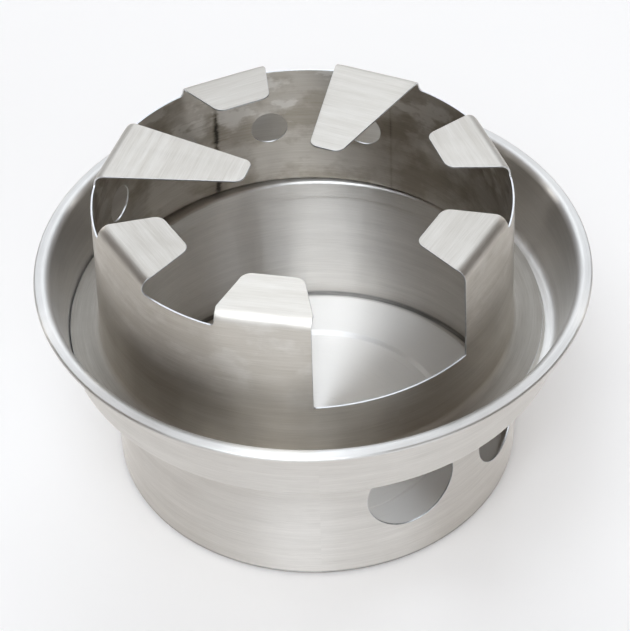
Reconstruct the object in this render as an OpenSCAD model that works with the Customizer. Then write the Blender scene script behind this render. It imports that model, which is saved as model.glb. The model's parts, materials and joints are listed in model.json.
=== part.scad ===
// Twig stove: a base cup, a bowl that plugs into it, and a loose pot ring.
// Millimetres. The origin is the centre of the cup's bottom, +Z is up and
// -Y is the side that the photograph was taken from. Angles around the
// stove count from -Y, positive towards +X.

/* [Sheet] */
// Thickness of the steel sheet that all three pieces are pressed from
sheet = 0.5; // [0.4:0.05:0.7]

/* [Base cup] */
// Outside radius of the cup's wall
cup_radius = 53.2; // [45:0.1:65]
// Height of the cup, up to the edge that the bowl sits on
cup_height = 42; // [38:0.5:60]
// Outside radius of the corner between the cup's wall and its foot
cup_corner = 1.5; // [1:0.1:3]
// Width of the flat foot that the cup stands on
foot_width = 0.9; // [0.6:0.1:3]
// How far the cup's floor is raised above the foot
floor_rise = 1.2; // [0.8:0.1:2.5]
// Radius of the pressed disc in the middle of the floor
disc_radius = 34.5; // [20:0.5:40]
// How far the disc is pressed down into the floor
disc_drop = 1; // [0.4:0.1:1.1]
// Width of the slopes at the disc's edge and at the foot
press_slope = 1.1; // [0.6:0.1:2]

/* [Air holes] */
// Radius of the big air holes in the cup's wall
air_radius = 11.9; // [6:0.1:12]
// Height of the middle of the air holes
air_height = 25.3; // [18:0.1:25.5]
// Direction of the first air hole
air_first = 25.7; // [0:0.1:90]
// Angle from one air hole to the next
air_step = 36.6; // [34:0.1:60]
// Number of air holes
air_count = 2; // [1:1:6]

/* [Bowl] */
// Side clearance between the bowl's neck and the cup's wall
neck_gap = 0.3; // [0.3:0.05:0.8]
// Depth of the neck that goes down inside the cup
neck_depth = 4.5; // [2:0.5:8]
// Depth of the channel around the raised floor
channel_depth = 2; // [1:0.1:4]
// Width of the channel's flat bottom
channel_width = 1.4; // [0.8:0.1:2]
// Outside radius of the corner between the channel and the bowl's wall
bowl_corner = 3; // [1.5:0.1:3.5]
// Height of the bowl's rim above the raised floor
rim_rise = 18.1; // [12:0.1:30]
// How far the bowl's wall leans out between the corner and the rim
wall_flare = 3; // [1:0.1:8]
// Radius of the turn from the bowl's wall into the flat rim
rim_turn = 2.1; // [1:0.1:2.5]
// Width of the rim, from the inside of the wall to the outer edge
rim_width = 4; // [3.4:0.1:8]
// Thickness of the rim's folded edge
rim_fold = 1.6; // [1.3:0.1:2.4]
// Length of the straight leg that the fold leaves under the rim
rim_tuck = 1; // [0.5:0.1:2]

/* [Pot ring] */
// How far the ring's foot stands inside the line of the cup's wall
ring_inset = 0.2; // [-0.5:0.1:1]
// How much the ring's wall narrows from its foot to its top
ring_taper = 1.4; // [0:0.1:3]
// Height of the ring's wall above the bowl's floor
ring_height = 38.5; // [25:0.5:70]
// Width of the flange around the ring's foot
flange_width = 7.6; // [7:0.1:12]
// Radius of the turn from the ring's wall into the flange
flange_turn = 2; // [1:0.1:2.5]
// Side play of the flange inside the bowl
flange_play = 2.4; // [2.3:0.1:4]
// How far the loose ring stands off centre, as in the photograph
ring_shift = -2; // [-2:0.1:2]
// Direction that the ring's fuel opening faces
ring_turn = 23.8; // [-180:0.1:180]

/* [Fuel opening] */
// Height of the opening's sill above the bowl's floor
sill_height = 16.4; // [8:0.1:24]
// Angle between the middle of the opening and the tab on either side
first_tab = 35; // [28:0.5:42]

/* [Tabs] */
// Number of tabs folded in from the top of the ring
tab_count = 7; // [5:1:7]
// Width of a tab where it is folded
tab_width = 22.4; // [12:0.2:24]
// Outside radius of the fold
tab_fold = 3; // [1.5:0.1:5]
// Height of the straight part of a tab, below its fold
tab_riser = 0.5; // [0.2:0.1:4]
// Radius of the small corners where a tab leaves the ring
tab_root = 1.4; // [0.6:0.1:2]
// Distance from the ring's axis to the tip of a short tab
short_tip = 35; // [25:0.5:42]
// Width of a short tab's tip, before its corners are rounded
short_tip_width = 14; // [8:0.2:16]
// Radius of a short tab's corners
short_corner = 3; // [1:0.1:5]
// Distance from the ring's axis to the tip of a long tab
long_tip = 13.9; // [13:0.1:30]
// Width of a long tab's tip, before its corners are rounded
long_tip_width = 8.2; // [6:0.2:12]
// Radius of a long tab's corners
long_corner = 2.5; // [1:0.1:3.5]

/* [Vent holes] */
// Radius of the vent holes at the back of the ring
vent_radius = 4.9; // [2:0.1:6]
// Height of the middle of the vent holes above the bowl's floor
vent_height = 19.9; // [12:0.1:26]
// Angle from one vent hole to the next
vent_step = 28.4; // [16:0.1:32]
// Number of vent holes
vent_count = 4; // [2:1:6]

/* [Hidden] */
$fn = 120;
// How far the cuts run on past the sheet
past = 10;
// Longest step, in degrees, along the round stretches of a section
arc_step = 10;
// How much larger than its corners a tab's foot is cut
root_ease = 1.05;

// The tabs stand evenly spaced around the ring, apart from the wider space
// at the opening. They are counted from 0, the one to the right of it.
tab_step = (360 - 2*first_tab) / (tab_count - 1);
long_tabs = [tab_count - 5, tab_count - 3];

cup_inside = cup_radius - sheet;
seat_top = cup_height + sheet;
channel_under = cup_height - channel_depth;

// The bowl is worked out from the cup's mouth outwards.
neck_outside = cup_inside - neck_gap;
ring_foot_radius = cup_radius - ring_inset;
ring_top_radius = ring_foot_radius - ring_taper;
flange_edge = ring_foot_radius + flange_width;
corner_at = [flange_edge + flange_play + sheet - bowl_corner,
             channel_under + bowl_corner];
slope_end = corner_at[0] - channel_width;
seat_edge = slope_end - press_slope;
rim_top = seat_top + rim_rise;
turn_at = [corner_at[0] + bowl_corner - sheet + wall_flare + rim_turn,
           rim_top - rim_turn];
rim_radius = turn_at[0] - rim_turn + rim_width;

// The wall is the line that touches the corner's outside and the turn's.
to_turn = turn_at - corner_at;
wall_lean = acos((bowl_corner + rim_turn - sheet) / norm(to_turn))
          - atan2(to_turn[1], to_turn[0]);

// The ring's wall touches the inside of the flange's turn and the outside
// of the fold that its tabs are made with.
wall_top = seat_top + ring_height;
foot_at = [ring_foot_radius + flange_turn, seat_top + sheet + flange_turn];
fold_at = [ring_top_radius - tab_fold, wall_top + tab_riser];
tab_top = fold_at[1] + tab_fold;
to_fold = fold_at - foot_at;
ring_lean = atan2(to_fold[1], to_fold[0])
          - asin((flange_turn + tab_fold) / norm(to_fold)) - 90;

function polar(r, a) = [r*cos(a), r*sin(a)];

// Points along a round stretch of a section.
function arc(at, r, from, to) =
    let (steps = ceil(abs(to - from)/arc_step))
    [for (i = [0 : steps]) at + polar(r, from + (to - from)*i/steps)];

// Turns a piece drawn at -Y to another direction around the stove.
module around(a) {
    rotate([0, 0, a]) children();
}

// A round hole through the wall at -Y, between two distances from the axis.
module bore(r, height, from, to) {
    translate([0, -from, height])
        rotate([90, 0, 0]) cylinder(h = to - from, r = r);
}

// Section of the base cup: its underside and outside, then back inside.
module cup_section() {
    disc_z = floor_rise - disc_drop;
    cup_corner_at = [cup_radius - cup_corner, cup_corner];
    foot_edge = cup_corner_at[0] - foot_width;
    floor_edge = foot_edge - press_slope;
    disc_edge = disc_radius + press_slope;
    polygon(concat(
        [[0, disc_z], [disc_radius, disc_z], [disc_edge, floor_rise],
         [floor_edge, floor_rise], [foot_edge, 0]],
        arc(cup_corner_at, cup_corner, -90, 0),
        [[cup_radius, cup_height], [cup_inside, cup_height]],
        arc(cup_corner_at, cup_corner - sheet, 0, -90),
        [[foot_edge, sheet], [floor_edge, floor_rise + sheet],
         [disc_edge, floor_rise + sheet], [disc_radius, disc_z + sheet],
         [0, disc_z + sheet]]));
}

module base_cup() {
    color("silver") difference() {
        rotate_extrude() cup_section();
        for (i = [0 : air_count - 1])
            around(air_first + i*air_step)
                bore(air_radius, air_height, cup_inside - past, cup_radius + past);
    }
}

// Section of the bowl: its underside from the neck's lower edge to the edge
// of the rim, which is folded back under itself, then back along its inside.
module bowl_section() {
    neck_end = cup_height - neck_depth;
    neck_turn = [cup_inside, cup_height - neck_gap];
    edge_r = rim_fold/2;
    edge = [rim_radius - edge_r, rim_top - edge_r];
    tuck = edge[0] - rim_tuck;
    polygon(concat(
        [[neck_outside, neck_end]],
        arc(neck_turn, neck_gap, 180, 90),
        [[seat_edge, cup_height], [slope_end, channel_under]],
        arc(corner_at, bowl_corner, -90, -wall_lean),
        arc(turn_at, rim_turn - sheet, 180 - wall_lean, 90),
        arc(edge, edge_r - sheet, 90, -90),
        [[tuck, rim_top - rim_fold + sheet], [tuck, rim_top - rim_fold]],
        arc(edge, edge_r, -90, 90),
        arc(turn_at, rim_turn, 90, 180 - wall_lean),
        arc(corner_at, bowl_corner - sheet, -wall_lean, -90),
        [[slope_end, channel_under + sheet], [seat_edge, seat_top]],
        arc(neck_turn, neck_gap + sheet, 90, 180),
        [[neck_outside - sheet, neck_end]]));
}

module bowl() {
    color("gainsboro") rotate_extrude() bowl_section();
}

// Section of the pot ring: its flange, its wall and the fold into its tabs,
// by the side that faces the fire and then back by the other.
module ring_section() {
    tab_end = long_tip/2;
    polygon(concat(
        [[flange_edge, seat_top]],
        arc(foot_at, flange_turn + sheet, 270, 180 + ring_lean),
        arc(fold_at, tab_fold - sheet, ring_lean, 90),
        [[tab_end, tab_top - sheet], [tab_end, tab_top]],
        arc(fold_at, tab_fold, 90, ring_lean),
        arc(foot_at, flange_turn, 180 + ring_lean, 270),
        [[flange_edge, seat_top + sheet]]));
}

// Outline of a tab seen from above, pointing at the ring's axis from -Y.
module tab_outline(tip, tip_width, round) {
    outside = ring_foot_radius + past;
    half = tab_width/2;
    spread = atan2(half - tip_width/2, fold_at[0] - tip);
    side = tip_width/2 + round*tan(spread) - round/cos(spread);
    round_at = [side, -(tip + round)];
    touch = round_at + polar(round, spread);
    polygon([[half, -outside], [half, -fold_at[0]], touch, [side, -tip],
             [-side, -tip], [-touch[0], touch[1]], [-half, -fold_at[0]],
             [-half, -outside]]);
    for (s = [-1, 1]) translate([s*side, round_at[1]]) circle(round);
}

// The room that tab number i takes, from a little below the wall's top.
module tab_room(i) {
    is_long = len(search(i, long_tabs)) > 0;
    translate([0, 0, wall_top - tab_root])
        linear_extrude(height = 2*tab_root + tab_riser + tab_fold)
            tab_outline(is_long ? long_tip : short_tip,
                        is_long ? long_tip_width : short_tip_width,
                        is_long ? long_corner : short_corner);
}

// The foot of a tab, with a small corner on either side. The circles are a
// little larger than the corners, so that these end in no knife edge.
module tab_foot() {
    reach = tab_width/2 + tab_root;
    translate([0, tab_root - fold_at[0], wall_top]) rotate([90, 0, 0])
        linear_extrude(height = past) difference() {
            translate([-reach, -tab_root]) square([2*reach, 2*tab_root]);
            for (s = [-1, 1])
                translate([s*reach, tab_root]) circle(root_ease*tab_root);
        }
}

// What is cut away above the wall's top, all round but for the tabs.
module tab_gaps() {
    difference() {
        translate([0, 0, wall_top])
            cylinder(h = past, r = ring_foot_radius + past);
        for (i = [0 : tab_count - 1]) around(first_tab + i*tab_step) {
            tab_room(i);
            tab_foot();
        }
    }
}

// The opening's sides run on from the sides of the tabs next to it.
module fuel_opening() {
    half = tab_width/2;
    c = cos(first_tab);
    s = sin(first_tab);
    inner = ring_top_radius - past;
    outer = ring_foot_radius + past;
    a = [inner*s - half*c, -inner*c - half*s];
    b = [outer*s - half*c, -outer*c - half*s];
    translate([0, 0, seat_top + sill_height])
        linear_extrude(height = ring_height + past)
            polygon([a, b, [-b[0], b[1]], [-a[0], a[1]]]);
}

module pot_ring() {
    color("lightsteelblue") translate([ring_shift, 0, 0]) around(ring_turn)
        difference() {
            rotate_extrude() ring_section();
            tab_gaps();
            fuel_opening();
            for (i = [0 : vent_count - 1])
                around(180 + (i - (vent_count - 1)/2)*vent_step)
                    bore(vent_radius, seat_top + vent_height,
                         ring_top_radius - past, ring_foot_radius + past);
        }
}

base_cup();
bowl();
pot_ring();
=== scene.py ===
"""Twig stove of bare stainless sheet: a base cup, a bowl on it and a loose pot ring.

Each piece is built as a sheet: a flat pattern of cut outlines, in u (round the stove) and
s (along the section of the sheet), is triangulated, bent to its section and given its
thickness and rounded cut edges. Lengths are in millimetres until a mesh is made.
"""
import json
import math
from collections import namedtuple

import bpy
import numpy as np
from mathutils import Matrix, Vector
from mathutils.geometry import delaunay_2d_cdt

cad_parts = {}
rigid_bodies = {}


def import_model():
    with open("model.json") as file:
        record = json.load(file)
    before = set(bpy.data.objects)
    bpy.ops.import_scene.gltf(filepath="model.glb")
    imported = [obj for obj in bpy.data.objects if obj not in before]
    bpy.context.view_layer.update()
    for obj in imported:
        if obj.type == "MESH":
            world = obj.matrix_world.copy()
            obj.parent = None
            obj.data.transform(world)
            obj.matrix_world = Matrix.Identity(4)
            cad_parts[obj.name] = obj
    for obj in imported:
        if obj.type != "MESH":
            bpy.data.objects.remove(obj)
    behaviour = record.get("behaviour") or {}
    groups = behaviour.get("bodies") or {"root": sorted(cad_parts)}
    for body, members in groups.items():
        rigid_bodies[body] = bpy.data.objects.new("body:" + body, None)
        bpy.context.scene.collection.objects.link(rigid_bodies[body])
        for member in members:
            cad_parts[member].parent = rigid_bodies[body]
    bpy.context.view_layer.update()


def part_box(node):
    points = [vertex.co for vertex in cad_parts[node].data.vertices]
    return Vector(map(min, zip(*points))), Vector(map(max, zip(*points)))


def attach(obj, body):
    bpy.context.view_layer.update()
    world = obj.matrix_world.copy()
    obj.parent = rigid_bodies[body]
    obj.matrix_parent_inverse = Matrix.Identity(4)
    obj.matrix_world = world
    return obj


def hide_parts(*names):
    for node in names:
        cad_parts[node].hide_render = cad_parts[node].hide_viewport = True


for startup_object in list(bpy.data.objects):
    bpy.data.objects.remove(startup_object)
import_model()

MM = 0.001
TINY = 1e-6
NO_LENGTH = 1e-12
# The flat patterns are the UV maps, in units of 100 mm.
UV_NAME = "sheet"
UV_UNIT = 100

# Sheet
SHEET = 0.5
EDGE_ROUND = 0.09
SMALL_BEND = 0.6

# Base cup, on the frame's box: its floor is raised and has a pressed disc in the middle.
CUP_LOW, CUP_HIGH = (np.array(corner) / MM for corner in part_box("base_cup"))
CUP_RADIUS = CUP_HIGH[0]
CUP_HEIGHT = CUP_HIGH[2]
CUP_CORNER = 1.5
FOOT_WIDTH = 0.9
FLOOR_RISE = 1.2
DISC_RADIUS = 34.5
DISC_DROP = 1.0
PRESS_SLOPE = 1.1
FLOOR_LENGTH = 50.0
AIR_RADIUS = 11.9
AIR_HEIGHT = 25.3
AIR_DIRECTIONS = (25.7, 62.3)
AIR_POINTS = 120

# Bowl, on the frame's box: from the neck in the cup out to a seat, a lower channel for the
# ring, the wall and the folded rim. The many-sided rim stays just inside the box.
BOWL_LOW, BOWL_HIGH = (np.array(corner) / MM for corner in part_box("bowl"))
RIM_CLEAR = 0.01
RIM_RADIUS = BOWL_HIGH[0] - RIM_CLEAR
RIM_TOP = BOWL_HIGH[2]
NECK_END = BOWL_LOW[2]
NECK_GAP = 0.3
SEAT_EDGE = 58.0
CHANNEL_EDGE = 59.1
CHANNEL_UNDER = 40.0
WALL_FOOT = 62.8
WALL_HEAD = 66.46
BOWL_CORNER = 3.0
RIM_TURN = 2.1
RIM_FOLD = 1.6
RIM_FALL = 0.35
RIM_TUCK = 1.6
RIM_FLAT = 0.04

# Pot ring, on the frame's box. Directions count from the middle of the fuel opening, and
# that is RING_TURN degrees from the front. A tab's tip is that far from the ring's axis.
RING_LOW, RING_HIGH = (np.array(corner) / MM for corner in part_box("pot_ring"))
RING_CENTRE = (RING_LOW[0] + RING_HIGH[0]) / 2
FLANGE_EDGE = (RING_HIGH[0] - RING_LOW[0]) / 2
RING_FOOT = RING_LOW[2]
TAB_TOP = RING_HIGH[2]
FLANGE_TURN = 2.0
RING_FOOT_RADIUS = 52.83
RING_SEAT_GAP = 0.02
RING_HEAD_RADIUS = 51.25
WALL_TOP = 81.0
SILL = 58.9
RING_TURN = 23.8
TAB_FOLD = 3.0
FIRST_TAB = 35.0
TAB_COUNT = 7
TAB_STEP = (360 - 2 * FIRST_TAB) / (TAB_COUNT - 1)
LONG_TABS = (2, 4)
TAB_HALF = 11.2
TAB_ROOT = 1.0
SHORT_TAB = {"tip": 35.0, "half": 7.0, "corner": 3.0}
LONG_TAB = {"tip": 13.9, "half": 4.1, "corner": 2.5}
VENT_RADIUS = 4.9
VENT_HEIGHT = 62.4
VENT_STEP = 28.4
VENT_COUNT = 4
VENT_POINTS = 64
# The wall is pulled flat under each tab's straight fold, from this height up.
FLAT_START = 66.0
FLAT_BLEND = 0.22

# Mesh density
COLUMNS = 420
ROW_STEP = 2.4
RING_ROW_STEP = 1.2
BEND_STEP = math.radians(11)
LOOP_STEP = 0.7
CLEAR_OF_LOOPS = 0.32
TAB_CORNER_STEPS = 8
TAB_ROOT_STEPS = 6
FIND_SAMPLES = 4000
# The step on the flat pattern that gives a direction on the bent sheet
FLAT_STEP = 1e-3
# What Blender's triangulation is asked for: the whole hull, and points this near as one
WHOLE_HULL = 0
JOIN_DISTANCE = 1e-7


# Section paths

Run = namedtuple("Run", "start length point along radius sign")


class Path:
    """A sheet's middle line in its section: straight runs joined by round bends."""

    def __init__(self, nodes):
        points = [np.array(node[:2], float) for node in nodes]
        bends = [node[2] if len(node) > 2 else 0.0 for node in nodes]
        self.runs = []
        self.length = 0.0
        here = points[0]
        for i in range(1, len(points)):
            to = points[i]
            along = (to - points[i - 1]) / np.linalg.norm(to - points[i - 1])
            if i == len(points) - 1 or not bends[i]:
                self.add_line(here, to)
                here = to
                continue
            after = (points[i + 1] - to) / np.linalg.norm(points[i + 1] - to)
            turn = math.atan2(along[0] * after[1] - along[1] * after[0], along @ after)
            reach = bends[i] * math.tan(abs(turn) / 2)
            self.add_line(here, to - reach * along)
            self.add_arc(to - reach * along, along, bends[i], turn)
            here = to + reach * after

    def add_line(self, a, b):
        length = np.linalg.norm(b - a)
        if length > TINY:
            self.runs.append(Run(self.length, length, a, (b - a) / length, 0.0, 0.0))
            self.length += length

    def add_arc(self, start, along, radius, turn):
        length = radius * abs(turn)
        self.runs.append(Run(self.length, length, start, along, radius, math.copysign(1, turn)))
        self.length += length

    def at(self, s):
        """Radius and height at distances s along the path. The ends run on straight."""
        s = np.asarray(s, float)
        r, z = np.empty_like(s), np.empty_like(s)
        for i, run in enumerate(self.runs):
            here = s >= run.start if i else np.full(s.shape, True)
            forward, across = s[here] - run.start, 0.0
            side = np.array([-run.along[1], run.along[0]]) * run.sign
            if run.radius:
                a = forward / run.radius
                forward, across = run.radius * np.sin(a), run.radius * (1 - np.cos(a))
            r[here] = run.point[0] + forward * run.along[0] + across * side[0]
            z[here] = run.point[1] + forward * run.along[1] + across * side[1]
        return r, z

    def radius(self, s):
        return float(self.at([s])[0][0])

    def rows(self, step):
        """Distances for the rows of a mesh: close in the bends and wider on the runs."""
        out = [0.0]
        for run in self.runs:
            reach = run.radius * BEND_STEP or step
            count = max(1, math.ceil(run.length / reach))
            out += [run.start + run.length * (k + 1) / count for k in range(count)]
        return np.array(out)

    def find(self, height, high):
        """The distance at which the path passes a height. It rises all the way to high."""
        s = np.linspace(0, high, FIND_SAMPLES)
        z = self.at(s)[1]
        return float(np.interp(height, z, s))


# Flat patterns

def inside(points, loop):
    """Which points lie inside a closed loop."""
    x, y = points[:, 0], points[:, 1]
    odd = np.zeros(len(points), bool)
    for (x0, y0), (x1, y1) in zip(loop, np.roll(loop, -1, axis=0)):
        if y0 != y1:
            crosses = (y0 > y) != (y1 > y)
            odd ^= crosses & (x < x0 + (y - y0) * (x1 - x0) / (y1 - y0))
    return odd


def near(points, loop, reach):
    """Which points lie closer than reach to a closed loop."""
    close = np.zeros(len(points), bool)
    for a, b in zip(loop, np.roll(loop, -1, axis=0)):
        low, high = np.minimum(a, b) - reach, np.maximum(a, b) + reach
        some = np.flatnonzero(((points > low) & (points < high)).all(1) & ~close)
        ab, ap = b - a, points[some] - a
        t = np.clip(ap @ ab / max(ab @ ab, NO_LENGTH), 0, 1)
        close[some] = np.linalg.norm(ap - t[:, None] * ab, axis=1) < reach
    return close


def resample(points):
    """An open line through the given points, with no step longer than LOOP_STEP."""
    out = []
    for a, b in zip(points[:-1], points[1:]):
        count = max(1, math.ceil(math.dist(a, b) / LOOP_STEP))
        a, b = np.array(a), np.array(b)
        out += [tuple(a + (b - a) * k / count) for k in range(count)]
    return out + [tuple(points[-1])]


def outside(points, holes):
    """Which points lie inside none of the holes."""
    free = np.full(len(points), True)
    for hole in holes:
        free &= ~inside(points, hole)
    return free


def clear_of(points, holes):
    """Which points lie outside the holes and not too close to their edges."""
    free = outside(points, holes)
    for hole in holes:
        free &= ~near(points, hole, CLEAR_OF_LOOPS)
    return free


def grid_points(columns, rows):
    return np.stack(np.meshgrid(columns, rows, indexing="ij"), -1).reshape(-1, 2)


def add_loops(points, holes):
    """The points with those of the holes after them, and each hole as a list of indices."""
    loops, at = [], len(points)
    for hole in holes:
        loops.append(list(range(at, at + len(hole))))
        at += len(hole)
    return np.concatenate([points, *holes]), loops


def triangulate(points, loops, keep):
    """Triangles over the points that respect the loops, where keep says that they count."""
    coords = [Vector(p) for p in points]
    edges = [(loop[i], loop[(i + 1) % len(loop)]) for loop in loops for i in range(len(loop))]
    verts, _, faces, origin, _, _ = delaunay_2d_cdt(
        coords, edges, [], WHOLE_HULL, JOIN_DISTANCE, True)
    verts = np.array([(v[0], v[1]) for v in verts])
    source = np.array([o[0] if o else -1 for o in origin])
    faces = np.array([f for f in faces if len(f) == 3])
    middle = verts[faces].mean(1)
    return source[faces[keep(middle)]]


# Sheets

def merge(count, pairs):
    """A new index for each point, with the second of each pair taken as the first."""
    alias = np.arange(count)
    for first, second in pairs:
        alias[second] = first
    return alias


def unit(vectors):
    return vectors / np.maximum(np.linalg.norm(vectors, axis=1, keepdims=True), NO_LENGTH)


def way_out(points, loop, bend, middle, turn):
    """The direction out of the sheet at each point of a cut edge."""
    flat = points[loop]
    along = np.roll(flat, -1, 0) - np.roll(flat, 1, 0)
    along[:, 0] -= turn * np.round(along[:, 0] / turn)
    out = unit(np.stack([along[:, 1], -along[:, 0]], 1)) * FLAT_STEP
    moved = bend(flat[:, 0] + out[:, 0], flat[:, 1] + out[:, 1])
    return unit(moved - middle[loop])


def sheet_mesh(name, points, faces, loops, bend, alias, turn):
    """A sheet of its real thickness from a flat pattern that closes on itself after a turn
    of u. bend takes flat points to the middle of the sheet, and loops are its cut edges,
    with the sheet on their left."""
    u, s = points[:, 0], points[:, 1]
    middle = bend(u, s)
    along_u = bend(u + FLAT_STEP, s) - bend(u - FLAT_STEP, s)
    along_s = bend(u, s + FLAT_STEP) - bend(u, s - FLAT_STEP)
    normal = unit(np.cross(along_u, along_s))
    half = normal * SHEET / 2
    loops = [np.array(loop) for loop in loops]
    outs = [way_out(points, loop, bend, middle, turn) for loop in loops]

    # Both faces of the sheet, drawn back a little from the cut edges
    pulled = middle.copy()
    for loop, out in zip(loops, outs):
        pulled[loop] -= out * EDGE_ROUND
    coords = [pulled + half, pulled - half]
    normals = [normal, -normal]
    sound = (alias[faces] != np.roll(alias[faces], 1, 1)).all(1)
    faces = faces[sound]
    count = len(points)
    triangles = np.concatenate([alias[faces], alias[faces][:, ::-1] + count])
    triangle_uvs = np.concatenate([points[faces], points[faces][:, ::-1]])

    # The cut edges: a flat between two small bevels
    at = 2 * count
    quads, quad_uvs = [], []
    for loop, out in zip(loops, outs):
        n = len(loop)
        reach = half[loop] * (1 - 2 * EDGE_ROUND / SHEET)
        coords += [middle[loop] + reach, middle[loop] - reach]
        normals += [out, out]
        here, after = np.arange(n), (np.arange(n) + 1) % n
        flat = points[loop]
        ahead = flat[after]
        ahead[:, 0] -= turn * np.round((ahead[:, 0] - flat[:, 0]) / turn)
        top, low = alias[loop], alias[loop] + count
        upper, lower = at + here, at + n + here
        for a, b in ((top, upper), (upper, lower), (lower, low)):
            quads.append(np.stack([a, b, b[after], a[after]], 1))
            quad_uvs.append(np.stack([flat, flat, ahead, ahead], 1))
        at += 2 * n
    quad_uvs = np.concatenate(quad_uvs)
    corner_uvs = np.concatenate([triangle_uvs.reshape(-1, 2), quad_uvs.reshape(-1, 2)])
    return build_mesh(name, np.concatenate(coords), np.concatenate(normals), triangles,
                      np.concatenate(quads), corner_uvs)


def build_mesh(name, coords, normals, triangles, quads, corner_uvs):
    """A mesh with the flat pattern as its UV map. The cut edges get the second material."""
    used = np.unique(np.concatenate([triangles.ravel(), quads.ravel()]))
    renumber = np.full(len(coords), -1)
    renumber[used] = np.arange(len(used))
    polygons = renumber[triangles].tolist() + renumber[quads].tolist()
    mesh = bpy.data.meshes.new(name)
    mesh.from_pydata((coords[used] * MM).tolist(), [], polygons)
    layer = mesh.uv_layers.new(name=UV_NAME)
    layer.data.foreach_set("uv", (corner_uvs / UV_UNIT).ravel())
    materials = np.zeros(len(mesh.polygons), np.int32)
    materials[len(triangles):] = 1
    mesh.polygons.foreach_set("material_index", materials)
    mesh.polygons.foreach_set("use_smooth", np.full(len(mesh.polygons), True))
    mesh.normals_split_custom_set_from_vertices([Vector(n) for n in normals[used]])
    piece = bpy.data.objects.new(name, mesh)
    bpy.context.scene.collection.objects.link(piece)
    return piece


def around(path, radius):
    """Bends a flat pattern round the stove's axis. u counts at the given radius from -Y."""
    def bend(u, s):
        r, z = path.at(s)
        a = u / radius
        return np.stack([r * np.sin(a), -r * np.cos(a), z], 1)
    return bend


def turned_sheet(name, path, radius, holes=()):
    """A sheet turned round the axis, with holes as closed loops of (u, s) points."""
    rows = path.rows(ROW_STEP)
    turn = 2 * math.pi * radius
    columns = np.linspace(0, turn, COLUMNS + 1)
    grid = grid_points(columns, rows)
    index = np.arange(len(grid)).reshape(len(columns), len(rows))
    kept = np.flatnonzero(clear_of(grid, holes))
    renumber = np.full(len(grid), -1)
    renumber[kept] = np.arange(len(kept))
    index = renumber[index]
    points, loops = add_loops(grid[kept], holes)
    border = [*index[:, 0], *index[-1, 1:], *index[-2::-1, -1], *index[0, -2:0:-1]]
    faces = triangulate(points, [border] + loops, lambda middle: outside(middle, holes))
    pairs = list(zip(index[0], index[-1]))
    cut = [loop[::-1] for loop in loops]
    if path.radius(0) < TINY:
        pairs += [(index[0, 0], other) for other in index[1:, 0]]
    else:
        cut.append(index[:-1, 0])
    cut.append(index[-2::-1, -1])
    alias = merge(len(points), pairs)
    return sheet_mesh(name, points, faces, cut, around(path, radius), alias, turn)


# Base cup

def cup_path():
    """The cup's section, from the middle of its floor out and up."""
    half = SHEET / 2
    corner = CUP_RADIUS - CUP_CORNER
    foot = corner - FOOT_WIDTH
    disc_z = FLOOR_RISE - DISC_DROP + half
    floor_z = FLOOR_RISE + half
    return Path([
        (0, disc_z), (DISC_RADIUS, disc_z, SMALL_BEND),
        (DISC_RADIUS + PRESS_SLOPE, floor_z, SMALL_BEND),
        (foot - PRESS_SLOPE, floor_z, SMALL_BEND), (foot, half, SMALL_BEND / 2),
        (CUP_RADIUS - half, half, CUP_CORNER - half), (CUP_RADIUS - half, CUP_HEIGHT)])


def air_hole(path, direction):
    """The loop of a round hole bored straight through the cup's wall."""
    wall = CUP_RADIUS - SHEET / 2
    turn = np.linspace(0, 2 * math.pi, AIR_POINTS, endpoint=False)
    u = wall * (math.radians(direction) + np.arcsin(AIR_RADIUS * np.cos(turn) / wall))
    s = path.length - CUP_HEIGHT + AIR_HEIGHT + AIR_RADIUS * np.sin(turn)
    return np.stack([u, s], 1)


def make_base_cup():
    path = cup_path()
    holes = [air_hole(path, direction) for direction in AIR_DIRECTIONS]
    return turned_sheet("base_cup_sheet", path, CUP_RADIUS - SHEET / 2, holes)


# Bowl

def bowl_path():
    """The bowl's section, from its neck out to the fold under its rim."""
    half = SHEET / 2
    neck = CUP_RADIUS - SHEET - NECK_GAP - half
    seat = CUP_HEIGHT + half
    channel = CHANNEL_UNDER + half
    top = RIM_TOP - half
    edge = RIM_RADIUS - half
    under = RIM_TOP - RIM_FOLD + half
    roll = (top - under - RIM_FLAT) / 2
    return Path([
        (neck, NECK_END), (neck, seat, NECK_GAP + half), (SEAT_EDGE, seat, SMALL_BEND),
        (CHANNEL_EDGE, channel, SMALL_BEND), (WALL_FOOT, channel, BOWL_CORNER - half),
        (WALL_HEAD, top, RIM_TURN - half), (edge, top - RIM_FALL, roll - RIM_FALL / 2),
        (edge, under, roll - RIM_FALL / 2), (edge - RIM_TUCK, under)])


def make_bowl():
    return turned_sheet("bowl_sheet", bowl_path(), WALL_HEAD)


# Pot ring

# The ring's section runs along the flange, its bend, the wall, the tabs' fold and the tabs.
RING_FOLD_RUN = 3


def ring_path():
    half = SHEET / 2
    foot, top = RING_FOOT + RING_SEAT_GAP + half, TAB_TOP - half
    return Path([
        (FLANGE_EDGE, foot), (RING_FOOT_RADIUS, foot, FLANGE_TURN + half),
        (RING_HEAD_RADIUS, top, TAB_FOLD - half), (LONG_TAB["tip"] / 2, top)])


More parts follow.
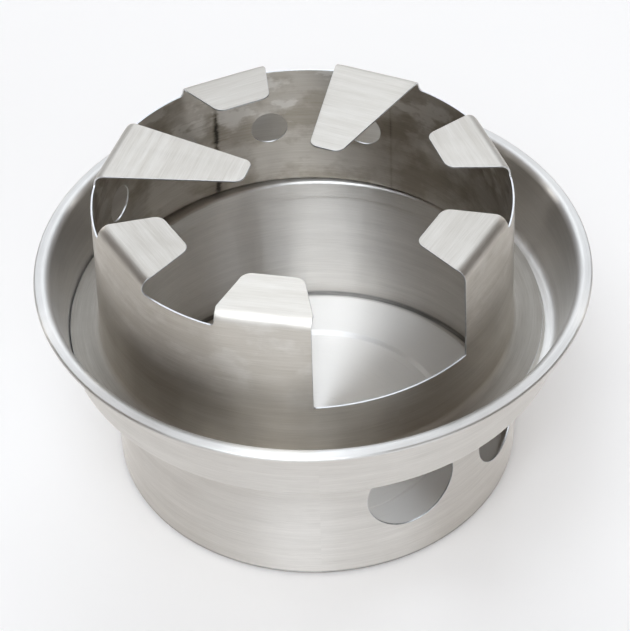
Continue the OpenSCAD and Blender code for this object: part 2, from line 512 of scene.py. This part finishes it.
class RingPattern:
    """The flat pattern of the pot ring, and how it is rolled and its tabs folded. u counts
    from the middle of the fuel opening."""

    def __init__(self):
        self.path = ring_path()
        fold = self.path.runs[RING_FOLD_RUN]
        self.fold_start, self.fold_end = fold.start, fold.start + fold.length
        self.head = self.path.radius(self.fold_start)
        self.flat_start = self.path.radius(self.fold_end)
        self.half_angle = math.asin(TAB_HALF / self.head)
        self.pulled_in = self.head * (1 - math.cos(self.half_angle))
        self.turn = 2 * math.pi * self.head
        self.wall_top = self.path.find(WALL_TOP, self.fold_start)
        self.sill = self.path.find(SILL, self.fold_start)
        self.flat_from = self.path.find(FLAT_START, self.fold_start)

    def tab_angle(self, i):
        return math.radians(FIRST_TAB + i * TAB_STEP)

    def place(self, i, across, out):
        """Flat point for a place on tab i: across it, and out from the ring's axis."""
        s = self.fold_end + self.flat_start - self.pulled_in - out
        return (self.head * (self.tab_angle(i) + math.asin(across / self.head)), s)

    def tab_side(self, i, side):
        """Half of a tab's outline, from its fold out to the middle of its tip."""
        size = LONG_TAB if i in LONG_TABS else SHORT_TAB
        start = self.flat_start - self.pulled_in
        tip, half, corner = size["tip"], size["half"], size["corner"]
        spread = math.atan2(TAB_HALF - half, start - tip)
        flat = half + corner * math.tan(spread) - corner / math.cos(spread)
        out = [self.place(i, side * TAB_HALF, start)]
        for k in range(TAB_CORNER_STEPS + 1):
            a = -spread - (math.pi / 2 - spread) * k / TAB_CORNER_STEPS
            across, along = flat + corner * math.cos(a), tip + corner + corner * math.sin(a)
            out.append(self.place(i, side * across, along))
        return out + [self.place(i, 0, tip)]

    def root(self, i, side):
        """The side of a tab's root: up from the wall's top round a small corner."""
        edge = self.tab_angle(i) * self.head + side * self.half_angle * self.head
        out = []
        for k in range(TAB_ROOT_STEPS + 1):
            a = math.pi / 2 * k / TAB_ROOT_STEPS
            u = edge + side * TAB_ROOT * (1 - math.sin(a))
            out.append((u, self.wall_top + TAB_ROOT * (1 - math.cos(a))))
        return out

    def outline(self):
        """The upper edge of the pattern, from one end of the strip to the other."""
        points = [(0.0, self.sill)]
        for i in range(TAB_COUNT):
            edge = (self.tab_angle(i) - self.half_angle) * self.head
            points += [(edge, self.sill)] if i == 0 else self.root(i, -1)
            points += self.tab_side(i, -1)
            points += self.tab_side(i, 1)[::-1][1:]
            edge = (self.tab_angle(i) + self.half_angle) * self.head
            points += [(edge, self.sill)] if i == TAB_COUNT - 1 else self.root(i, 1)[::-1]
        return resample(points + [(self.turn, self.sill)])

    def vent(self, i):
        angle = math.pi + math.radians((i - (VENT_COUNT - 1) / 2) * VENT_STEP)
        turn = np.linspace(0, 2 * math.pi, VENT_POINTS, endpoint=False)
        middle = self.path.find(VENT_HEIGHT, self.fold_start)
        wall = self.path.radius(middle)
        u = self.head * (angle + np.arcsin(VENT_RADIUS * np.cos(turn) / wall))
        return np.stack([u, middle + VENT_RADIUS * np.sin(turn)], 1)

    def bend(self, u, s):
        """Rolls the strip round its axis, and pulls the wall flat under each tab."""
        angle = u / self.head
        i = np.clip(np.round((np.degrees(angle) - FIRST_TAB) / TAB_STEP), 0, TAB_COUNT - 1)
        tab = np.radians(FIRST_TAB + i * TAB_STEP)
        a = angle - tab
        r, z = self.path.at(s)
        wall = self.path.at(np.minimum(s, self.fold_start))[0]
        rise = np.clip((s - self.flat_from) / (self.fold_start - self.flat_from), 0, 1)
        flat = rise * rise * (3 - 2 * rise)
        round_out, flat_out = wall * np.cos(a), wall * math.cos(self.half_angle)
        soft = -FLAT_BLEND * np.logaddexp(-round_out / FLAT_BLEND, -flat_out / FLAT_BLEND)
        out = round_out + flat * (soft - round_out) + r - wall
        across = wall * np.sin(a)
        turn = tab + math.radians(RING_TURN)
        x = RING_CENTRE + out * np.sin(turn) + across * np.cos(turn)
        y = -out * np.cos(turn) + across * np.sin(turn)
        return np.stack([x, y, z], 1)


def make_pot_ring():
    """Cuts the strip with its tabs and vents, and rolls it into the ring."""
    ring = RingPattern()
    top = np.array(ring.outline())
    rows = ring.path.rows(RING_ROW_STEP)
    columns = np.linspace(0, ring.turn, COLUMNS + 1)
    low = rows[rows < ring.sill - CLEAR_OF_LOOPS]
    bottom = [(u, 0.0) for u in columns]
    right = [(ring.turn, s) for s in low[1:]]
    left = [(0.0, s) for s in low[:0:-1]]
    border = np.array(bottom + right + [tuple(p) for p in top[::-1]] + left)
    vents = [ring.vent(i) for i in range(VENT_COUNT)]
    grid = grid_points(columns[1:-1], rows[1:])
    free = inside(grid, border) & ~near(grid, border, CLEAR_OF_LOOPS) & clear_of(grid, vents)
    points, loops = add_loops(border, vents)
    points = np.concatenate([points, grid[free]])

    def keep(middle):
        return inside(middle, border) & outside(middle, vents)

    faces = triangulate(points, [list(range(len(border)))] + loops, keep)
    across, up = len(bottom), len(right)
    top_from = across + up
    left_from = top_from + len(top)
    pairs = [(0, across - 1), (left_from - 1, top_from)]
    pairs += [(left_from + up - 1 - k, across + k) for k in range(up)]
    alias = merge(len(points), pairs)
    cut = [range(across - 1), range(top_from, left_from - 1)]
    cut += [loop[::-1] for loop in loops]
    return sheet_mesh("pot_ring_sheet", points, faces, cut, ring.bend, alias, ring.turn)


# Materials

# Tones at which a steel shows its deep, dark and light colour, and the share of the dark
# colour that is left in the deep one
TONE_DEEP, TONE_DARK, TONE_LIGHT = 0.05, 0.35, 0.8
DEEP_SHARE = 0.22
ROUGHNESS_SPREAD = 0.05
# Heights of marks count in this unit.
BUMP_UNIT = 0.02 * MM
NOISE_ROUGHNESS = 0.6

# Noise on the flat pattern: waves per 100 mm along u and along s, and detail
FLOOR_RINGS = (0.6, 110.0, 2.0)
WELD_WANDER = (40.0, 60.0, 3.0)
RUBBED_SHEEN = (9.0, 14.0, 4.0)
# Fire staining with painted shade: dark patches on the ring's inside, below the tabs
STAINS_AND_SHADE = (7.0, 9.0, 5.0)
DENTS = (7.0, 8.0, 1.0)
STREAKS = (9.0, 0.8, 2.0)
# The brushed finish: such noise, and its share of the tone and of the height
BRUSHED_LAYERS = (
    ((14.0, 900.0, 4.0), 0.34, 0.22),
    ((7.0, 190.0, 3.0), 0.17, 0.25),
    ((1.5, 34.0, 3.0), 0.25, 2.0),
)
TONE_BASE = 0.17
SMUDGE = {"Scale": 60.0, "Detail": 4.0, "Roughness": NOISE_ROUGHNESS, "Distortion": 0.8}
SMUDGE_TONE = 0.11
STREAK_HEIGHT = 8.0
STREAK_FADE = 2.0

# Marks on the cup, with stops of (distance along the section, value)
FLOOR_FADE = 1.0
# Painted light: the floor's tone is raised, a paler floor where light falls from above
FLOOR_PAINTED_LIGHT = 0.08
FLOOR_DULL = 0.06
FLOOR_METAL = 0.8
RINGS_TONE = 0.35
RINGS_HEIGHT = 0.5
# Painted contact shadow: a dark line on the corner on which the cup stands
FOOT_SHADOW_LINE = ((52.0, 0.0), (52.7, 1.0), (54.0, 1.0), (54.7, 0.0))
FOOT_SHADOW_TONE = -0.5

# Marks on the ring: directions from the front in degrees, and half widths
WELD_TURN, WELD_HALF, WELD_JAG = 206.5, 1.0, 0.8
HEAT_HALF, HEAT_JAG = 3.5, 0.5
PRESS_TURN, PRESS_HALF, PRESS_JAG = 152.7, 0.5, 0.1
WANDER = 2.0
BELOW_TABS = ((42.0, 1.0), (46.0, 0.0))
NEAR_FOLDS = ((20.0, 0.0), (34.0, 1.0), (45.0, 0.9), (49.0, 0.05))
ON_FLANGE = ((6.0, 1.0), (9.0, 0.0))
# The last of these tones darkens the ring's inside: painted shade with fire staining
WELD_TONE, HEAT_TONE, PRESS_TONE, STAIN_AND_SHADE_TONE = -0.35, -0.08, -0.15, -0.22
# Painted sheen: marks of rubbing round the folds are lighter, most on the inside, for highlights on
# the bent wall
RUBBED_SHEEN_TONE, RUBBED_SHEEN_TONE_INSIDE = 0.1, 0.3
WELD_HEIGHT, RUBBED_SHEEN_HEIGHT, DENT_HEIGHT = -3.0, 0.5, 22.0
RUBBED_SHEEN_DULL, HEAT_DULL, FLANGE_DULL = 0.06, 0.06, 0.24


class Nodes:
    """Adds the nodes of one material or world. A value is a number, a colour or a socket."""

    def __init__(self, owner):
        owner.use_nodes = True
        self.tree = owner.node_tree
        self.tree.nodes.clear()

    def put(self, value, socket):
        if isinstance(value, bpy.types.NodeSocket):
            self.tree.links.new(value, socket)
        else:
            socket.default_value = value

    def add(self, kind, **values):
        """A node with its inputs set by their names, in which _ stands for a space."""
        node = self.tree.nodes.new(kind)
        for name, value in values.items():
            self.put(value, node.inputs[name.replace("_", " ")])
        return node

    def operation(self, kind, operation, *values):
        node = self.tree.nodes.new(kind)
        node.operation = operation
        for socket, value in zip(node.inputs, values):
            self.put(value, socket)
        return node

    def maths(self, operation, *values):
        return self.operation("ShaderNodeMath", operation, *values).outputs[0]

    def vector(self, operation, *values):
        return self.operation("ShaderNodeVectorMath", operation, *values)

    def times(self, a, b):
        return self.maths("MULTIPLY", a, b)

    def plus(self, total, value, share):
        """The total with a share of the value added."""
        return self.maths("MULTIPLY_ADD", value, share, total)

    def ramp(self, value, *stops):
        """A ramp between stops of (place, grey or colour)."""
        node = self.tree.nodes.new("ShaderNodeValToRGB")
        self.tree.links.new(value, node.inputs[0])
        elements = node.color_ramp.elements
        while len(elements) < len(stops):
            elements.new(0.5)
        for element, (place, colour) in zip(elements, stops):
            element.position = place
            grey = not isinstance(colour, tuple)
            element.color = (colour, colour, colour, 1) if grey else (*colour, 1)
        return node.outputs[0]

    def pattern_ramp(self, length, *stops):
        """A ramp over a length on the flat pattern, with the places in millimetres."""
        return self.ramp(length, *((place / UV_UNIT, value) for place, value in stops))

    def noise(self, place, waves_u, waves_s, detail):
        drawn = self.add("ShaderNodeMapping", Vector=place, Scale=(waves_u, waves_s, 1.0))
        noise = self.add("ShaderNodeTexNoise", Vector=drawn.outputs[0], Scale=1.0, Detail=detail,
                         Roughness=NOISE_ROUGHNESS)
        return noise.outputs[0]

    def end(self, kind, shader):
        self.tree.links.new(shader.outputs[0], self.tree.nodes.new(kind).inputs[0])


def brushed_steel(name, dark, light, roughness, marks=None, streaks_from=0.0):
    """Bare stainless sheet. The brush lines run along u, round the piece, and spread what it
    mirrors across them. marks adds a piece's own marks: it gets the nodes, the place on the
    flat pattern and the tone, and gives what differs from a plain surface."""
    material = bpy.data.materials.new(name)
    nodes = Nodes(material)
    uv = nodes.add("ShaderNodeUVMap")
    uv.uv_map = UV_NAME
    place = uv.outputs[0]
    tone, height = TONE_BASE, 0.0
    for waves, tone_share, height_share in BRUSHED_LAYERS:
        layer = nodes.noise(place, *waves)
        tone = nodes.plus(tone, layer, tone_share)
        height = nodes.plus(height, layer, height_share)
    space = nodes.add("ShaderNodeTexCoord").outputs["Object"]
    smudge = nodes.add("ShaderNodeTexNoise", Vector=space, **SMUDGE)
    tone = nodes.plus(tone, smudge.outputs[0], SMUDGE_TONE)
    along = nodes.add("ShaderNodeSeparateXYZ", Vector=place).outputs["Y"]
    streaked = nodes.pattern_ramp(along, (streaks_from, 0.0), (streaks_from + STREAK_FADE, 1.0))
    streaks = nodes.times(nodes.noise(place, *STREAKS), streaked)
    height = nodes.plus(height, streaks, STREAK_HEIGHT)

    look = {"tone": tone, "height": 0.0, "dull": 0.0, "metal": 1.0}
    if marks:
        look.update(marks(nodes, place, tone))
    deep = tuple(DEEP_SHARE * c for c in dark)
    colour = nodes.ramp(look["tone"], (TONE_DEEP, deep), (TONE_DARK, dark), (TONE_LIGHT, light))
    rough = nodes.ramp(look["tone"], (0.3, roughness + ROUGHNESS_SPREAD),
                       (TONE_LIGHT, roughness - ROUGHNESS_SPREAD))
    bump = nodes.add("ShaderNodeBump", Height=nodes.maths("ADD", height, look["height"]),
                     Strength=1.0, Distance=BUMP_UNIT)
    tangent = nodes.add("ShaderNodeTangent")
    tangent.direction_type = "UV_MAP"
    tangent.uv_map = UV_NAME
    shader = nodes.add("ShaderNodeBsdfPrincipled", Base_Color=colour, Metallic=look["metal"],
                       Roughness=nodes.maths("ADD", rough, look["dull"]),
                       Normal=bump.outputs[0], Tangent=tangent.outputs[0],
                       Anisotropic=1.0, Anisotropic_Rotation=0.25)
    nodes.end("ShaderNodeOutputMaterial", shader)
    return material


def cup_marks(nodes, place, tone):
    """The pressed floor is duller than the drawn wall, turned in rings, and a little paler, which
    paints part of the light that falls on it. A painted contact shadow darkens the corner on
    which the cup stands."""
    along = nodes.add("ShaderNodeSeparateXYZ", Vector=place).outputs["Y"]
    on_floor = nodes.pattern_ramp(along, (FLOOR_LENGTH - FLOOR_FADE, 1.0),
                                  (FLOOR_LENGTH + FLOOR_FADE, 0.0))
    rings = nodes.times(nodes.noise(place, *FLOOR_RINGS), on_floor)
    # Painted contact shadow along the cup's bottom corner
    tone = nodes.plus(tone, nodes.pattern_ramp(along, *FOOT_SHADOW_LINE), FOOT_SHADOW_TONE)
    # Painted light: the floor is made a little paler
    tone = nodes.plus(tone, on_floor, FLOOR_PAINTED_LIGHT)
    tone = nodes.plus(tone, rings, RINGS_TONE)
    return {"tone": tone, "height": nodes.times(rings, RINGS_HEIGHT),
            "dull": nodes.times(on_floor, FLOOR_DULL),
            "metal": nodes.plus(1.0, on_floor, FLOOR_METAL - 1)}


def ring_marks(nodes, place, tone):
    """The weld down the rolled strip with its heat band, the faint line of a press mark, lighter
    marks of rubbing round the folds that are partly a painted sheen, and dark fire staining on
    the inside that is partly painted shade."""
    split = nodes.add("ShaderNodeSeparateXYZ", Vector=place)
    along_strip, up = split.outputs["X"], split.outputs["Y"]
    below_tabs = nodes.pattern_ramp(up, *BELOW_TABS)
    wander = nodes.plus(-WANDER / 2 / UV_UNIT, nodes.noise(place, *WELD_WANDER), WANDER / UV_UNIT)

    def line(direction, half_width, jag):
        """A soft, jagged line up the wall, below the tabs."""
        off = nodes.maths("SUBTRACT", along_strip, strip_place(direction) / UV_UNIT)
        off = nodes.maths("ABSOLUTE", nodes.plus(off, wander, jag))
        return nodes.times(nodes.pattern_ramp(off, (0.0, 1.0), (half_width, 0.0)), below_tabs)

    weld = line(WELD_TURN, WELD_HALF, WELD_JAG)
    heat = line(WELD_TURN, HEAT_HALF, HEAT_JAG)
    press_mark = line(PRESS_TURN, PRESS_HALF, PRESS_JAG)
    on_inside = inner_face(nodes)
    # Painted highlight with wear: lighter marks of rubbing round the folds
    rubbed_sheen = nodes.ramp(nodes.noise(place, *RUBBED_SHEEN), (0.5, 0.0), (0.6, 1.0))
    rubbed_sheen = nodes.times(rubbed_sheen, nodes.pattern_ramp(up, *NEAR_FOLDS))
    # Painted shade with fire staining: darker patches on the inside of the wall, below the tabs
    stains_and_shade = nodes.ramp(nodes.noise(place, *STAINS_AND_SHADE), (0.42, 1.0), (0.56, 0.0))
    stains_and_shade = nodes.times(nodes.times(stains_and_shade, on_inside), below_tabs)
    dents = nodes.times(nodes.noise(place, *DENTS), below_tabs)

    rubbed_sheen_tone = nodes.plus(RUBBED_SHEEN_TONE, on_inside, RUBBED_SHEEN_TONE_INSIDE)
    tone = nodes.plus(tone, rubbed_sheen, rubbed_sheen_tone)
    for mark, share in ((stains_and_shade, STAIN_AND_SHADE_TONE), (weld, WELD_TONE), (heat, HEAT_TONE),
                        (press_mark, PRESS_TONE)):
        tone = nodes.plus(tone, mark, share)
    height = nodes.plus(nodes.times(rubbed_sheen, RUBBED_SHEEN_HEIGHT), weld, WELD_HEIGHT)
    height = nodes.plus(height, dents, DENT_HEIGHT)
    dull = nodes.times(nodes.pattern_ramp(up, *ON_FLANGE), FLANGE_DULL)
    dull = nodes.plus(dull, heat, HEAT_DULL)
    dull = nodes.plus(dull, rubbed_sheen, RUBBED_SHEEN_DULL)
    return {"tone": tone, "height": height, "dull": dull}


def inner_face(nodes):
    """1 on a wall's side that faces the stove's axis, 0 on its outside and on level faces."""
    space = nodes.add("ShaderNodeTexCoord")
    inwards = nodes.vector("MULTIPLY", space.outputs["Normal"], (-1, -1, 0))
    facing = nodes.vector("DOT_PRODUCT", space.outputs["Object"], inwards.outputs["Vector"])
    return nodes.ramp(facing.outputs["Value"], (0.01, 0.0), (0.03, 1.0))


def strip_place(direction):
    """Where a direction round the stove, in degrees from the front, lies along the strip."""
    return math.radians((direction - RING_TURN) % 360) * RING_HEAD_RADIUS


def cut_edge(name):
    """The sheared edge of the sheet: brighter, with fine marks across it."""
    material = bpy.data.materials.new(name)
    nodes = Nodes(material)
    space = nodes.add("ShaderNodeTexCoord").outputs["Object"]
    marks = nodes.add("ShaderNodeTexNoise", Vector=space, Scale=900.0, Detail=3.0).outputs[0]
    colour = nodes.ramp(marks, (0.3, (0.62, 0.61, 0.6)), (0.8, (0.82, 0.82, 0.81)))
    rough = nodes.ramp(marks, (0.3, 0.3), (0.8, 0.42))
    shader = nodes.add("ShaderNodeBsdfPrincipled", Base_Color=colour, Roughness=rough, Metallic=1.0)
    nodes.end("ShaderNodeOutputMaterial", shader)
    return material


# Stage, light and camera

FLOOR_SIZE = 6.0
FLOOR_GLOW = 0.135
PAPER = (0.9, 0.86, 0.815, 1)
WHITE = (1, 1, 1, 1)

# The world: colours, and ramps of strength over the height z and the side |x| of a direction
ROOM_LEVEL = 0.03
ROOM = (1.0, 0.7, 0.45)
LIGHT = (0.845, 0.91, 1.0)
LIGHT_LEVEL = 0.5
DOME = ((0.5, 0.0), (0.8, 0.25))
HORIZON = ((0.1, 0.8), (0.3, 0.0))
HORIZON_SIDES = ((0.6, 1.0), (0.92, 0.65))

# Panels of light that the steel mirrors. direction is in degrees from the front, rise above
# the floor, core and reach are the angles from a panel's middle to its full and faded light.
Panel = namedtuple("Panel", "direction rise core reach strength")
PANELS = (
    Panel(direction=180, rise=46, core=11, reach=30, strength=1.9),
    Panel(direction=-8, rise=48, core=8, reach=26, strength=3.6),
    Panel(direction=-45, rise=72, core=8, reach=26, strength=3.0),
    Panel(direction=36, rise=16, core=6, reach=24, strength=1.2),
)

# Two small lamps at the back, in metres and watts
LAMPS = {"left_lamp": (-0.82, 0.56, 0.62), "right_lamp": (0.82, 0.56, 0.62)}
LAMP_TARGET = (0, 0, 0.05)
LAMP_SIZE = (0.1, 0.2)
LAMP_POWER = 0.4

# The camera fitted to the photo, which is 630 pixels wide
PHOTO_WIDTH = 630
FOCAL_PIXELS = 1900
SENSOR_WIDTH = 36
CAMERA_DROP = math.radians(42.59)
CAMERA_ROLL = math.radians(-1.72)
CAMERA_TARGET = Vector((0.20, 0.0, 39.95)) * MM
CAMERA_DISTANCE = 491.4 * MM


def seen_rays(nodes):
    """1 for camera, glossy and transmission rays, which show the white background."""
    path = nodes.add("ShaderNodeLightPath").outputs
    seen = nodes.maths("MAXIMUM", path["Is Camera Ray"], path["Is Glossy Ray"])
    return nodes.maths("MAXIMUM", seen, path["Is Transmission Ray"])


def make_floor():
    """A white floor that keeps the object's shadow."""
    mesh = bpy.data.meshes.new("floor")
    half = FLOOR_SIZE / 2
    corners = [(-half, -half, 0), (half, -half, 0), (half, half, 0), (-half, half, 0)]
    mesh.from_pydata(corners, [], [(0, 1, 2, 3)])
    floor = bpy.data.objects.new("floor", mesh)
    bpy.context.scene.collection.objects.link(floor)
    material = bpy.data.materials.new("white_floor")
    nodes = Nodes(material)
    paper = nodes.add("ShaderNodeBsdfDiffuse", Color=PAPER)
    strength = nodes.times(seen_rays(nodes), FLOOR_GLOW)
    glow = nodes.add("ShaderNodeEmission", Color=WHITE, Strength=strength)
    both = nodes.tree.nodes.new("ShaderNodeAddShader")
    for shader, socket in zip((paper, glow), both.inputs):
        nodes.put(shader.outputs[0], socket)
    nodes.end("ShaderNodeOutputMaterial", both)
    mesh.materials.append(material)


def make_world():
    """A soft dome over the stove, pale paper round the horizon and the panels of light, in a
    dim and warm room."""
    world = bpy.data.worlds.new("studio")
    bpy.context.scene.world = world
    nodes = Nodes(world)
    way = nodes.add("ShaderNodeTexCoord").outputs["Generated"]
    split = nodes.add("ShaderNodeSeparateXYZ", Vector=way)
    height = split.outputs["Z"]
    sides = nodes.ramp(nodes.maths("ABSOLUTE", split.outputs["X"]), *HORIZON_SIDES)
    paper = nodes.times(nodes.ramp(height, *HORIZON), sides)
    level = nodes.maths("MAXIMUM", nodes.ramp(height, *DOME), paper)
    for panel in PANELS:
        turn, rise = math.radians(panel.direction), math.radians(panel.rise)
        middle = (math.cos(rise) * math.sin(turn), -math.cos(rise) * math.cos(turn), math.sin(rise))
        to_panel = nodes.vector("DOT_PRODUCT", way, middle).outputs["Value"]
        faded, full = math.cos(math.radians(panel.reach)), math.cos(math.radians(panel.core))
        level = nodes.plus(level, nodes.ramp(to_panel, (faded, 0.0), (full, 1.0)), panel.strength)
    sky = nodes.ramp(level, (0.0, ROOM), (LIGHT_LEVEL, LIGHT))
    strength = nodes.maths("ADD", level, ROOM_LEVEL)
    background = nodes.add("ShaderNodeBackground", Color=sky, Strength=strength)
    nodes.end("ShaderNodeOutputWorld", background)


def soft_box(name, place):
    light = bpy.data.lights.new(name, "AREA")
    light.shape = "RECTANGLE"
    light.size, light.size_y = LAMP_SIZE
    light.energy = LAMP_POWER
    box = bpy.data.objects.new(name, light)
    box.location = place
    aim = Vector(LAMP_TARGET) - Vector(place)
    box.rotation_euler = aim.to_track_quat("-Z", "Y").to_euler()
    bpy.context.scene.collection.objects.link(box)


def make_camera():
    data = bpy.data.cameras.new("camera")
    data.sensor_fit = "HORIZONTAL"
    data.sensor_width = SENSOR_WIDTH
    data.lens = FOCAL_PIXELS / PHOTO_WIDTH * SENSOR_WIDTH
    data.clip_start = 0.01
    forward = Vector((0, math.cos(CAMERA_DROP), -math.sin(CAMERA_DROP)))
    right = Vector((1, 0, 0))
    up = right.cross(forward)
    turned_right = right * math.cos(CAMERA_ROLL) + up * math.sin(CAMERA_ROLL)
    turned_up = up * math.cos(CAMERA_ROLL) - right * math.sin(CAMERA_ROLL)
    camera = bpy.data.objects.new("camera", data)
    basis = Matrix((turned_right, turned_up, -forward)).transposed().to_4x4()
    camera.matrix_world = Matrix.Translation(CAMERA_TARGET - CAMERA_DISTANCE * forward) @ basis
    bpy.context.scene.collection.objects.link(camera)
    bpy.context.scene.camera = camera


def dress(piece, node, body, materials):
    """Puts a piece on its body, in place of its CAD node."""
    for material in materials:
        piece.data.materials.append(material)
    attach(piece, body)
    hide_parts(node)


edge = cut_edge("cut_edge")
cup_steel = brushed_steel("cup_steel", (0.62, 0.585, 0.535), (0.94, 0.905, 0.855), 0.39,
                          cup_marks, streaks_from=FLOOR_LENGTH)
bowl_steel = brushed_steel("bowl_steel", (0.58, 0.55, 0.505), (0.89, 0.86, 0.815), 0.33)
ring_steel = brushed_steel("ring_steel", (0.43, 0.38, 0.31), (0.74, 0.70, 0.64), 0.32, ring_marks)
dress(make_base_cup(), "base_cup", "base_cup", (cup_steel, edge))
dress(make_bowl(), "bowl", "bowl", (bowl_steel, edge))
dress(make_pot_ring(), "pot_ring", "pot_ring", (ring_steel, edge))

make_floor()
make_world()
make_camera()
for lamp, lamp_place in LAMPS.items():
    soft_box(lamp, lamp_place)

scene = bpy.context.scene
scene.view_settings.view_transform = "Standard"
